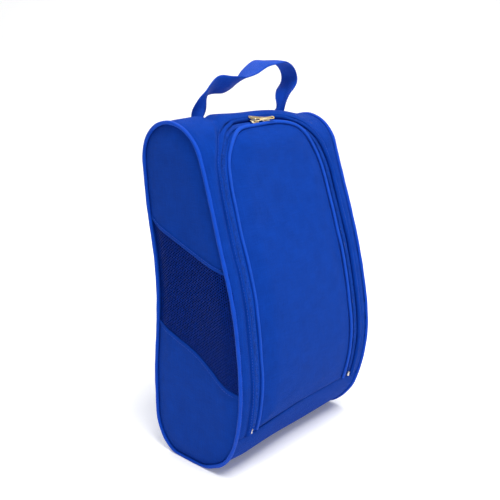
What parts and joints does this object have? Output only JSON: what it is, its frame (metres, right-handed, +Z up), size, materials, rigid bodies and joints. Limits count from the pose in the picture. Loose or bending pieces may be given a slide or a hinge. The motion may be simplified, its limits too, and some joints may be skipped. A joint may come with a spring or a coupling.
{
  "type": "golf shoe bag",
  "caption": "Upright leaning fabric shoe bag with a zipped arched front door, mesh side vents, piped edges and a webbing top handle.",
  "frame": {"origin": "on the ground, under the middle of the bag's box", "axes": "+X to the right seen from the door, -Y out through the door, +Z up"},
  "size_m": [0.2206, 0.143, 0.4335],
  "materials": {
    "cloth": "woven",
    "mesh": "open mesh",
    "trim": "satin",
    "binding": "ribbed",
    "zip_tape": "twill",
    "zip_coil": "satin",
    "metal": "worn nickel over brass",
    "webbing": "ribbed webbing"
  },
  "bodies": {
    "bag": {"side_panel_left_upper": "cloth", "side_mesh_left": "mesh", "side_panel_left_lower": "cloth", "side_panel_right_upper": "cloth", "side_mesh_right": "mesh", "side_panel_right_lower": "cloth", "piping_left": "trim", "piping_right": "trim", "seam_binding_left": "binding", "seam_binding_right": "binding", "back_panel": "cloth", "bottom_panel": "cloth", "front_gusset": "cloth", "top_seam_binding": "binding", "door_seam_binding": "binding", "back_seam_binding": "binding", "zip_tape_outer": "zip_tape", "zip_coil_outer": "zip_coil", "zip_lip": "trim", "zip_stop_left": "metal", "zip_stop_right": "metal", "handle_end_left": "webbing", "handle_end_right": "webbing"},
    "door": {"door_panel": "cloth", "door_piping": "trim", "zip_tape_inner": "zip_tape", "zip_coil_inner": "zip_coil"},
    "slider_left": {"zip_slider_left": "metal"},
    "slider_right": {"zip_slider_right": "metal"},
    "pull_left": {"pull_tab_left": "metal"},
    "pull_right": {"pull_tab_right": "metal"},
    "handle": {"handle_webbing": "webbing"}
  },
  "joints": [
    {"name": "door_hinge", "type": "hinge", "parent": "bag", "child": "door", "pos_m": [0, -0.05899, 0.05492], "axis": [1, 0, 0], "range_deg": [0, 105]},
    {"name": "slider_right_run", "type": "hinge", "parent": "bag", "child": "slider_right", "pos_m": [0.00928, -0.11, 0.29815], "axis": [-0.0082, 0.5573, -0.8303], "range_deg": [0, 8]},
    {"name": "slider_left_run", "type": "hinge", "parent": "bag", "child": "slider_left", "pos_m": [-0.00928, -0.11, 0.29815], "axis": [-0.0082, -0.5573, 0.8303], "range_deg": [0, 8]},
    {"name": "pull_right_flip", "type": "hinge", "parent": "slider_right", "child": "pull_right", "pos_m": [0.0085, -0.00109, 0.37752], "axis": [0.2756, 0.8127, 0.5134], "range_deg": [0, 165]},
    {"name": "pull_left_flip", "type": "hinge", "parent": "slider_left", "child": "pull_left", "pos_m": [-0.0085, -0.00109, 0.37752], "axis": [-0.2756, -0.8127, -0.5134], "range_deg": [0, 150]},
    {"name": "handle_fold", "type": "hinge", "parent": "bag", "child": "handle", "pos_m": [0, 0.03534, 0.37873], "axis": [1, 0, 0], "range_deg": [-45, 45]}
  ],
  "couplings": [
    {"joint": "slider_left_run", "follows": "door_hinge", "ratio": 0.07619},
    {"joint": "slider_right_run", "follows": "door_hinge", "ratio": 0.07619}
  ]
}
